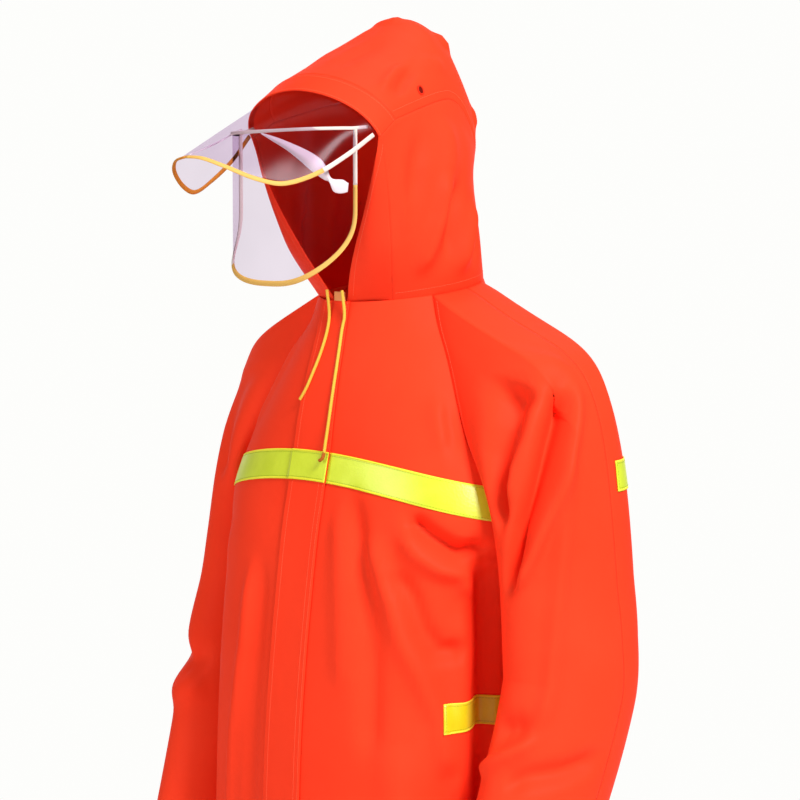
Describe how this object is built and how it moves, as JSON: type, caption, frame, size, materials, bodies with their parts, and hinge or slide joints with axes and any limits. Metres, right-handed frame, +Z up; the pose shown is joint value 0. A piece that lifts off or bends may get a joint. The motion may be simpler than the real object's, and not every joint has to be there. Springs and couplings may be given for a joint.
{
  "type": "raincoat",
  "caption": "Hooded raglan rain jacket in red-orange coated cloth, worn form, with clear peak and face shield, storm flap, drawcord and lime reflective tape.",
  "frame": {"origin": "middle of the neck seam, where the wearer's shoulders and neck carry the jacket", "axes": "+Z up, -Y towards the front of the jacket, +X towards the wearer's left"},
  "size_m": [0.6278, 0.471, 1.0418],
  "materials": {
    "cloth": "satin",
    "clear_sheet": "gloss",
    "tape": "satin",
    "binding": "satin",
    "cord": "matte",
    "tip": "satin",
    "tab": "matte"
  },
  "bodies": {
    "root": {"front_left": "cloth", "front_right": "cloth", "back": "cloth", "storm_flap": "cloth", "sleeve_front_left": "cloth", "sleeve_back_left": "cloth", "sleeve_front_right": "cloth", "sleeve_back_right": "cloth", "hood_side_left": "cloth", "hood_side_right": "cloth", "hood_gusset_left": "cloth", "hood_gusset_right": "cloth", "hood_crown": "cloth", "hood_brow_band": "cloth", "eyelet_left": "cloth", "eyelet_right": "cloth", "visor_brim": "clear_sheet", "visor_mask": "clear_sheet", "mask_top_band": "clear_sheet", "brim_binding": "binding", "mask_binding": "binding", "throat_tab": "tab", "drawcord_left": "cord", "drawcord_right": "cord", "drawcord_tip": "tip", "chest_tape_left": "tape", "chest_tape_right": "tape", "chest_tape_flap": "tape", "back_tape": "tape", "sleeve_tape_left": "tape", "sleeve_tape_right": "tape", "side_tape_left": "tape", "side_tape_right": "tape"}
  },
  "joints": []
}
